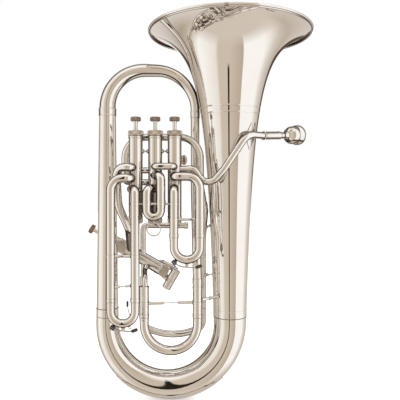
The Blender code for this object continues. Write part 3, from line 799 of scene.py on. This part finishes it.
def make_slide_bow(node, pair, mouth, inner_top, inner, sag=0, bends=None):
    """A slide's inner legs, its bow and the collars where they meet. A flat bow sags to a low middle."""
    shape = Shape()
    low = pair.bottom
    if sag:
        turn = math.atan(sag / pair.half)
        low += sag - bends[1] * (1 / math.cos(turn) - 1)
    top = mouth - 0.4
    bow = [pair.on_left(top), pair.on_left(low), pair.on_right(low), pair.on_right(top)]
    if sag:
        bow.insert(2, pair.at((pair.left + pair.right) / 2, low - sag))
    shape.tube(bow, bends or [pair.half, pair.half], pair.bow)
    for x in (pair.left, pair.right):
        shape.tube([pair.at(x, inner_top), pair.at(x, mouth - 3)], [], inner)
        shape.collar(pair.at(x, top - LAP / 2), UP, pair.bow - 0.1, LAP, 0.55)
    show(shape, node)


def make_sleeves(node, pair, left, right, brace_z, bends, radius=SLEEVE, seats=(None, None), extra=None):
    """Two sleeves with their collars and the rod between them."""
    shape = Shape()
    for path, turns, seat in ((left, bends[0], seats[0]), (right, bends[1], seats[1])):
        shape.tube(path, turns, radius, seats=(seat, None))
        end = Vector(path[-1])
        shape.collar(end + UP * 3.2, UP, radius - 0.1, 6, 0.7)
        if seat:
            start, corner = Vector(path[0]), Vector(path[1])
            way = (corner - start).normalized()
            shape.collar(start + way * 3.2, way, radius - 0.1, 2.2, 0.6)
    for x in (pair.left, pair.right):
        shape.collar(pair.at(x, brace_z), UP, radius - 0.1, 5.5, 0.8)
    start, end = pair.at(pair.left + radius, brace_z), pair.at(pair.right - radius, brace_z)
    if extra:
        extra(shape, start, end)
    else:
        shape.rod(start, end, 2.5, 2.3)
    show(shape, node)


def make_first_slide():
    pair, valve = Pair("slide_1"), VALVES[1]
    mouth, low_port, high_port = box("slide_1_sleeves")[0].z, 393, 414
    left = [valve.port(-90, low_port), pair.on_left(low_port), pair.on_left(mouth)]
    right = [valve.port(-90, high_port), pair.on_left(high_port), pair.on_right(high_port),
             pair.on_right(mouth)]
    make_sleeves("slide_1_sleeves", pair, left, right, 340, ([9.6], [9.6, 21]),
                 seats=(valve.seat,) * 2)
    make_slide_bow("slide_1", pair, mouth, 375, INNER)
    make_water_key(1, pair)


def make_second_slide():
    pair, valve = Pair("slide_2"), VALVES[2]
    mouth, low_port, high_port = box("slide_2_sleeves")[0].z, 393, 416
    left = [valve.port(-100, low_port), pair.on_left(low_port), pair.on_left(mouth)]
    right = [valve.port(-78, high_port), pair.on_right(high_port), pair.on_right(mouth)]
    make_sleeves("slide_2_sleeves", pair, left, right, LINK_Z, ([9.4], [9.4]),
                 seats=(valve.seat,) * 2)
    links = Shape()
    ends = (Pair("slide_3").right, pair.left), (pair.right, Pair("slide_1").left)
    for a, b in ends:
        long = b - a - 2 * SLEEVE
        profile = [(2.6, 0), (2.4, 1), (1.5, 1.8), (1.5, long - 1.8), (2.4, long - 1), (2.6, long)]
        links.turned(soften(profile), pair.at(a + SLEEVE, LINK_Z), RIGHT, 0, 24)
    for x in (ends[0][0], ends[1][1]):
        links.collar(pair.at(x, LINK_Z), UP, SLEEVE - 0.1, 5, 0.8)
    add(links, "sleeve_links", "bell")
    make_slide_bow("slide_2", pair, mouth, 383, INNER)
    centre = middle("slide_2_ring")
    ring_radius = box("slide_2_ring")[1].x - centre.x - 1.3
    ring = Shape().turned(round_wire(ring_radius, 1.15), centre, BACK, 0, 64, "join")
    ring.turned([(2.2, 0), (2.0, 1.2), (1.3, 2.6)], centre + UP * (ring_radius + 3), DOWN, 0, 20)
    show(ring, "slide_2_ring")


def make_third_slide():
    pair, valve = Pair("slide_3"), VALVES[3]
    mouth, low_port, high_port = box("slide_3_sleeves")[0].z, 392, 411
    start = valve.port(-124, high_port)
    left = [start, pair.at(start.x, high_port), pair.on_left(high_port), pair.on_left(mouth)]
    right = [valve.port(-118, low_port), pair.on_right(low_port), pair.on_right(mouth)]

    def braces(shape, start, end):
        shape.rod(start, end, 2.8, 2.6)
        drop = Vector((0, 0, 51))
        shape.rod(start - drop - UP * 2.5, end - drop, 2.4, 1.1, 0.3)

    make_sleeves("slide_3_sleeves", pair, left, right, 276.5, ([9.6, 21], [9.6]), SLEEVE,
                 (valve.seat,) * 2, braces)
    hook = pair.at(pair.right - INNER - 1.2, 172)
    wire = [hook, hook + Vector((-3.6, 0, 9)), hook + Vector((-5.4, 0, 19))]
    bumper = Shape().tube(wire, [8], 0.9, wall=0.5)
    cushion = soften([(0.6, 0), (1.9, 0.8), (1.9, 9.4), (0.6, 10.4)], 0.6)
    bumper.turned(cushion, hook + Vector((-5.4, 0, 17)), UP, 1, 24)
    add(bumper, "slide_bumper_3", "slide_3", paints=[silver(), cork()])
    make_slide_bow("slide_3", pair, mouth, 270, INNER)
    make_water_key(3, pair)


def make_water_key(number, pair):
    """Lever, pivot, nozzle and cork under a slide's bow."""
    node = f"water_key_{number}"
    pivot = joint_place({1: "press_first_water_key", 3: "press_third_water_key"}[number])
    centre = pair.at((pair.left + pair.right) / 2, pair.bottom + pair.half)
    near = pair.half + pair.bow + 4.4

    def spoke(angle):
        turn = math.radians(angle)
        return Vector((math.cos(turn), 0, math.sin(turn)))

    def section(angle, reach, thick, wide):
        outward = spoke(angle)
        turns = [2 * math.pi * i / 16 for i in range(16)]
        hub = centre + outward * reach
        return [hub + outward * thick * math.sin(a) + BACK * wide * math.cos(a) for a in turns]

    def rise(angle):
        return near + 1.1 + 5.4 * max(0, min(1, (angle - 272) / 28)) ** 1.3

    lever = Shape()
    lever.skin([section(a, rise(a), 1.15, 1.9) for a in range(234, 298)])
    pad = [(292, 0.6), (293, 2.2), (295, 2.9), (305, 3.1), (308.5, 2.6), (309.5, 0.9)]
    lever.skin([section(a, rise(a), thick, thick * 1.35) for a, thick in pad], 1)
    aim = spoke({1: 231, 3: 238}[number])
    seat = centre + aim * (near + 2.2)
    lever.turned(soften([(4.7, 0), (4.7, 2.6), (1.8, 3.0)]), seat - aim * 1.2, aim, 1, 32)
    lever.turned(soften([(4.0, 0), (4.0, 0.8)], 0.2), seat - aim * 2.0, aim, 0, 32)
    lever.turned(soften([(4.7, 0), (4.7, 2.4)]), seat - aim * 4.4, aim, 1, 32)
    lever.turned(soften([(2.4, -4.6), (3.2, -4.2), (3.2, 4.2), (2.4, 4.6)]), pivot, BACK, 0, 32)
    show(lever, node, paints=[silver(), cork()])
    saddle = Shape()
    post = centre + DOWN * (pair.half + pair.bow - 0.6)
    saddle.turned(soften([(3.6, 0), (3.2, 1.2), (2.2, 2.0)]), post, DOWN, 0, 32)
    spout = centre + aim * (pair.half + pair.bow - 0.8)
    saddle.turned(soften([(3.8, 0), (3.0, 1.2), (2.8, 2.0)]), spout, aim, 0, 32)
    eye = centre + spoke(293) * (pair.half + pair.bow + 2.2)
    saddle.turned(round_wire(2.0, 0.8), eye, BACK, 0, 32, "join")
    add(saddle, f"water_key_saddle_{number}", f"slide_{number}")


def make_tuning_slide():
    pair = Pair("tuning_slide", 8.3)
    mouth, radius = box("tuning_sleeves")[0].z, 8.6
    fourth = VALVES[4]
    aim = (fourth.across * -0.64 - BACK * 0.77).normalized()
    start = fourth.foot + fourth.up * 28 + aim * (CASING_RADIUS - 2)
    joint = pair.on_left(214)
    aside = RIGHT * 1.4
    route = [start, (-161, 17, 236), pair.on_left(231) + aside, joint + aside]
    entry = Shape().tube(route, [10, 16], 4.8, seats=(fourth.seat, None))
    entry.turned(soften([(4, -2), (8.5, -2), (8.7, 0.6), (6.6, 2), (4.9, 3), (4, 3)]), joint, UP)
    left = [joint, pair.on_left(mouth)]
    right = [pair.on_right(225), pair.on_right(mouth)]

    def slanted(shape, start, end):
        shape.rod(start - UP * 1.1, end + UP * 1.1, 2.7, 1.0, 0.33)

    make_sleeves("tuning_sleeves", pair, left, right, 186, ([], []), radius, (None, None), slanted)
    make_slide_bow("tuning_slide", pair, mouth, 205, 7.3)
    for x in (pair.left, pair.right):
        entry.collar(pair.at(x, 214), UP, radius - 0.1, 4, 0.6)
    add(entry, "tuning_sleeve_entry", "bell")
    z = middle("bell_brace").z
    foot = pair.at(pair.right + radius - 0.2, z - 2)
    end = on_bell(225, z) + UP * 2
    brace = Shape().rod(foot, end, 2.6, 2.0, 0.42)
    brace.collar((foot + end) / 2, (end - foot).normalized(), 2.2, 2.6, 1.4)
    show(brace, "bell_brace")
    posts = Shape()
    for start, height, facing in ((Vector((-46.5, 26, 226)), 229, 145), (Vector((-44.5, 15, 319)), 323, 160)):
        posts.rod(start, on_bell(facing, height), 3.0, 1.6, 0.3)
    add(posts, "return_braces", "bell")


def make_fourth_slide():
    pair = Pair("slide_4", 6.6)
    low, high = box("slide_4_sleeve_left")
    mouth, radius = low.z, 6.8
    fourth = VALVES[4]
    path = [pair.on_left(high.z), pair.on_left(mouth)]
    sleeve = Shape().tube(path, [], radius)
    top = high.z
    stub = [pair.on_left(top - 2), pair.on_left(top + 8), (pair.left, pair.y + 2, top + 24)]
    sleeve.tube(stub, [8], 5.4, seats=(None, fourth.seat))
    sleeve.collar(pair.on_left(mouth + 3.2), UP, radius - 0.1, 6, 0.6)
    show(sleeve, "slide_4_sleeve_left")
    third = VALVES[3]
    arch_z, arch_y = box("compensating_return")[1].z - 6.4, -22
    arch_left, arch_right = box("compensating_return")[0].x + 6.4, -55.5
    arch = [
        third.port(125, 404, CASING_RADIUS - 1.5),
        (arch_left, arch_y, 406),
        (arch_left, arch_y, arch_z),
        (arch_right, arch_y, arch_z),
        (arch_right, arch_y, 398),
        (-47, 0, 350),
        pair.on_right(296),
        pair.on_right(mouth),
    ]
    shape = Shape().tube(arch, [10, 38, 38, 40, 30, 40], 6.4, radius, (third.seat, None))
    shape.collar(pair.on_right(mouth + 3.2), UP, radius - 0.1, 6, 0.6)
    shape.collar(pair.on_right(262), UP, radius - 0.2, 8, 0.7)
    slope = Vector((8.5, 22, -48)).normalized()
    shape.collar(Vector((-49.1, -5.5, 362)), slope, 6.4, 7, 1.0)
    show(shape, "compensating_return")
    make_slide_bow("slide_4", pair, mouth, 212, 5.4, sag=24, bends=[17, 114, 17])


def make_compensating_slide():
    """The small slide across the foot of the fourth valve, and the two tubes that hold it."""
    low, high = box("compensating_slide")
    fourth = VALVES[4]
    across = fourth.across
    centre = (low + high) / 2
    front, mouth = low.y + BOW, box("compensating_tube_upper")[0].y
    half = 12.2
    middle_bar = Vector((centre.x, front, centre.z))
    bar = [(1, -20.2), (7.6, -20.2), (8.3, -19.4), (8.3, 19.4), (7.6, 20.2), (1, 20.2)]
    shape = Shape().turned(soften(bar, 0.5), middle_bar, across)
    radius = 6.8
    for side, label in ((1, "upper"), (-1, "lower")):
        leg = Vector((centre.x, 0, centre.z)) + across * half * side
        shape.tube([leg + BACK * (front + 2), leg + BACK * (mouth - 3)], [], 6.6)
        shape.tube([leg + BACK * (high.y - 0.2), leg + BACK * (mouth - 3)], [], 5.4)
        shape.collar(leg + BACK * (mouth - 3.6), BACK, 6.5, 5, 0.5)
        back = box("compensating_tube_" + label)[1].y - radius
        end = fourth.foot + fourth.up * 7.5 + across * 8 * side
        path = [leg + BACK * mouth, leg + BACK * back, Vector((end.x, back, end.z)),
                Vector((end.x, fourth.foot.y + CASING_RADIUS - 3.4, end.z))]
        tube = Shape().tube(path, [8, 8], radius, 5.2, seats=(None, fourth.seat))
        tube.collar(leg + BACK * (mouth + 3), BACK, radius - 0.1, 6, 0.6)
        show(tube, "compensating_tube_" + label)
    show(shape, "compensating_slide")


# ---------------------------------------------------------------- tubes between valves, leadpipe

def make_valve_tubes():
    first, second, third, fourth = (VALVES[n] for n in (1, 2, 3, 4))
    low, high = box("knuckle_1_2")
    z, y, radius = (low.z + high.z) / 2, low.y + 6.1, 6.1
    start, end = second.port(-90, z), first.port(-90, z)
    path = [start, (start.x, y, z), (end.x, y, z), end]
    show(Shape().tube(path, [8, 8], radius, seats=(second.seat, first.seat)), "knuckle_1_2")
    links = Shape()
    for height in (425, 404):
        path = [third.port(0, height), second.port(180, height)]
        links.tube(path, [], 5.2, seats=(third.seat, second.seat))
        links.collar((Vector(path[0]) + Vector(path[1])) / 2, RIGHT, 5.1, 5, 0.6)
    show(links, "knuckle_2_3")
    target = fourth.foot + fourth.up * 68
    came_from = Vector((-186, -22, 318))
    off = (came_from - target).normalized() * (CASING_RADIUS - 2)
    down = [
        third.port(-112, 430), (-178.3, -68.5, 430), (-203, -58, 430), (-202, -43, 363), came_from,
        target + off,
    ]
    shape = Shape().tube(down, [8, 16, 60, 24], 7.2, seats=(third.seat, fourth.seat))
    shape.collar(Vector((-202.6, -52.4, 405)), Vector((1, 15, -67)).normalized(), 7.1, 6, 0.7)
    show(shape, "tube_3_to_4")
    high = box("compensating_crook")[1]
    foot = fourth.foot + fourth.up * 40
    z = high.z - 5.6
    crook = [(foot.x, 34, foot.z + 9), (foot.x, 34, z), (high.x, 30, z)]
    shape = Shape().tube(crook, [8], 5.6, seats=(fourth.seat, None))
    shape.collar(Vector((high.x - 4, 30, z)), RIGHT, 5.5, 7.6, 0.9)
    shape.turned([(5.4, 0), (5.0, 0.3)], Vector((high.x - 0.5, 30, z)), RIGHT)
    show(shape, "compensating_crook")


def make_leadpipe():
    way = joint_axis("withdraw_mouthpiece")
    length = 45
    centre = middle("mouthpiece_receiver")
    receiver_start = centre - way * length / 2
    first = VALVES[1]
    corners = [
        first.port(-9, 427),
        (-67, -53, 428),
        (-43, -56, 394),
        (-14, -62, 427),
        (27, -58, 488),
        receiver_start + way * 3,
    ]
    pipe = Shape().tube(corners, [10, 18, 60, 26], 6.1, 6.3, (first.seat, None))
    climb = Vector((41, 4, 61)).normalized()
    pipe.collar(Vector((-14, -62, 427)) + climb * 44, climb, 6.1, 7, 0.6)
    show(pipe, "leadpipe")
    receiver = Shape()
    wall = [
        (6.7, 0.4), (7.2, 0.4), (8.0, 0.9), (8.0, 2.6), (7.4, 3.1), (7.3, 5), (7.3, length - 7),
        (7.5, length - 6), (7.5, length - 1), (7.2, length - 0.2), (6.7, length - 0.2),
    ]
    receiver.turned(soften(wall), receiver_start, way, 0, 48, "join")
    show(receiver, "mouthpiece_receiver")
    tip = receiver_start + way * (length - 27)
    cup = Shape()
    outer = [
        (5.1, 0), (5.3, 4), (6.0, 28), (6.2, 34), (5.5, 38), (5.7, 42), (7.4, 45.4), (7.0, 47), (9.6, 48.6),
        (13.6, 51.4), (16.2, 56), (17.1, 61), (17.2, 64), (16.9, 67), (17.2, 69.5), (18.7, 72.4),
        (19.2, 75), (19.1, 78.6), (18.2, 81), (16.4, 82), (14.6, 81.6), (13.2, 80),
    ]
    inner = [(12.7, 77), (12.2, 70), (10.8, 62), (7.6, 54), (4.2, 50), (3.3, 48), (3.3, 44), (4.3, 0)]
    cup.turned(soften(outer + inner, 0.8), tip, way, 0, 72, "join")
    show(cup, "mouthpiece")


def make_leadpipe_brace():
    """A pointed plate on the bell, for the leadpipe brace."""
    low, high = box("leadpipe_brace")
    height, tall = (low.z + high.z) / 2, (high.z - low.z) / 2
    facing = math.atan2((low.y + high.y) / 2, (low.x + high.x) / 2)
    rings = []
    for k in range(33):
        part = -1 + k / 16
        z = height + tall * part
        near = bell_radius(z) - 0.2
        spread = (1.2 + 8.5 * math.cos(part * math.pi / 2) ** 1.3) / near
        ring = []
        for far, order in ((near, 1), (near + 1.3, -1)):
            turns = [facing + order * spread * (-1 + i / 5) for i in range(11)]
            ring += [level(t) * far + UP * z for t in turns]
        rings.append(ring)
    plate = Shape().skin(rings)
    show(plate, "leadpipe_brace")


# ---------------------------------------------------------------- stage

EYE = Vector((-56, -915, 401))
FLOOR_SIZE = 6


def make_floor():
    """A plain pale floor. The plating doesn't mirror it, so its bands run on down to the bottom bow."""
    data = bpy.data.meshes.new("floor")
    corners = [(x * FLOOR_SIZE, y * FLOOR_SIZE, 0) for x, y in ((-1, -1), (1, -1), (1, 1), (-1, 1))]
    data.from_pydata(corners, [], [(0, 1, 2, 3)])
    floor = bpy.data.objects.new("floor", data)
    floor.location.z = cad_box[0].z - 0.001
    floor.visible_glossy = False
    bpy.context.scene.collection.objects.link(floor)
    material, tree, shader = new_material("pale_floor")
    grain = texture(tree, "ShaderNodeTexNoise", 3, Detail=4, Roughness=0.6)
    tone = ramp(tree, grain.outputs["Fac"], [(0.3, (0.86, 0.855, 0.85)), (0.7, (0.9, 0.895, 0.89))])
    tree.links.new(tone, shader.inputs["Base Color"])
    shader.inputs["Roughness"].default_value = 0.9
    shader.inputs["Emission Color"].default_value = (1, 1, 1, 1)
    shader.inputs["Emission Strength"].default_value = 0.55
    data.materials.append(material)


def maths(tree, operation, first, second=None):
    """A math node between two sockets or numbers."""
    node = tree.nodes.new("ShaderNodeMath")
    node.operation = operation
    for socket, value in zip(node.inputs, (first, second)):
        if isinstance(value, bpy.types.NodeSocket):
            tree.links.new(value, socket)
        elif value is not None:
            socket.default_value = value
    return node.outputs[0]


def clamped(tree, source, start, end):
    """0 at start and 1 at end, and held there beyond them."""
    node = tree.nodes.new("ShaderNodeMapRange")
    node.inputs["From Min"].default_value = start
    node.inputs["From Max"].default_value = end
    tree.links.new(source, node.inputs["Value"])
    return node.outputs["Result"]


def make_world():
    """A soft studio in upright bands: a warm wall with a slit in front, white at the sides."""
    world = bpy.data.worlds.new("studio")
    bpy.context.scene.world = world
    world.use_nodes = True
    tree = world.node_tree
    background = tree.nodes["Background"]
    place = tree.nodes.new("ShaderNodeTexCoord")
    parts = tree.nodes.new("ShaderNodeSeparateXYZ")
    tree.links.new(place.outputs["Generated"], parts.inputs["Vector"])
    ahead = maths(tree, "MULTIPLY", parts.outputs["Y"], -1)
    turn = maths(tree, "ARCTAN2", parts.outputs["X"], ahead)
    share = maths(tree, "MULTIPLY_ADD", turn, 0.5 / math.pi)
    share.node.inputs[2].default_value = 0.5
    tan, deep, cream, white = (0.63, 0.55, 0.46), (0.50, 0.42, 0.34), (0.84, 0.80, 0.74), (1.0, 0.99, 0.975)
    slit, pale = (0.02, 0.014, 0.01), (0.90, 0.87, 0.83)
    bands = [
        (-180, white), (-160, cream), (-135, deep), (-112, tan), (-92, white), (-60, pale), (-45, cream),
        (-37, tan), (-5, tan), (35, deep), (36, white),
        (92, white), (112, cream), (138, tan), (165, cream), (180, white),
    ]
    walls = ramp(tree, share, [(0.5 + angle / 360, colour) for angle, colour in bands])
    line = ramp(tree, share, [(0.5 + angle / 360, on) for angle, on in
                              ((-10.8, 0), (-10.0, 1), (-5.0, 1), (-4.2, 0))])
    above = clamped(tree, parts.outputs["Z"], -0.47, -0.40)
    walls = blend_colours(tree, maths(tree, "MULTIPLY", line, above), walls, slit)
    behind = maths(tree, "ARCCOSINE", parts.outputs["Y"])
    ring = ramp(tree, maths(tree, "DIVIDE", behind, math.pi), [
        (0.0, 0), (0.075, 0), (0.10, 1), (0.20, 1), (0.235, 0), (1.0, 0),
    ])
    aside = maths(tree, "MULTIPLY", maths(tree, "ABSOLUTE", parts.outputs["X"]), parts.outputs["Z"])
    edge = maths(tree, "MULTIPLY", ring, clamped(tree, aside, -0.04, -0.01))
    ringed = blend_colours(tree, edge, walls, (0.10, 0.07, 0.05))
    seen = blend_colours(tree, clamped(tree, parts.outputs["Z"], 0.55, 0.85), ringed, white)
    seen = blend_colours(tree, clamped(tree, parts.outputs["Z"], -0.70, -0.90), seen, (0.66, 0.59, 0.52))
    path = tree.nodes.new("ShaderNodeLightPath")
    final = blend_colours(tree, path.outputs["Is Camera Ray"], seen, (1.0, 1.0, 1.0))
    tree.links.new(final, background.inputs["Color"])
    background.inputs["Strength"].default_value = 1.0


def make_lights():
    for name, spot, size, power in (
        ("left_softbox", (-1.5, -0.9, 1.3), 1.2, 14),
        ("right_softbox", (1.6, -0.8, 1.1), 1.2, 12),
    ):
        lamp = bpy.data.lights.new(name, "AREA")
        lamp.shape = "RECTANGLE"
        lamp.size, lamp.size_y = size * 0.5, size
        lamp.energy = power
        light = bpy.data.objects.new(name, lamp)
        light.location = spot
        light.visible_glossy = False
        aim = Vector((0, 0, 0.35)) - Vector(spot)
        light.rotation_euler = aim.to_track_quat("-Z", "Y").to_euler()
        bpy.context.scene.collection.objects.link(light)


def make_camera():
    """Level, a little in front of the valves, with the eye above the middle of the instrument."""
    data = bpy.data.cameras.new("camera")
    data.lens = 44.0
    data.sensor_width = 36.0
    data.shift_y = -0.04
    camera = bpy.data.objects.new("camera", data)
    camera.location = (EYE + BASE) * MM
    camera.rotation_euler = (math.radians(90), 0, 0)
    bpy.context.scene.collection.objects.link(camera)
    bpy.context.scene.camera = camera


make_bell()
make_main_tube()
make_bow_guard()
for each in VALVES.values():
    make_valve(each)
make_casing_braces()
make_valve_tubes()
make_first_slide()
make_second_slide()
make_third_slide()
make_tuning_slide()
make_fourth_slide()
make_compensating_slide()
make_leadpipe()
make_leadpipe_brace()
make_floor()
make_world()
make_lights()
make_camera()
bpy.context.scene.view_settings.view_transform = "Standard"
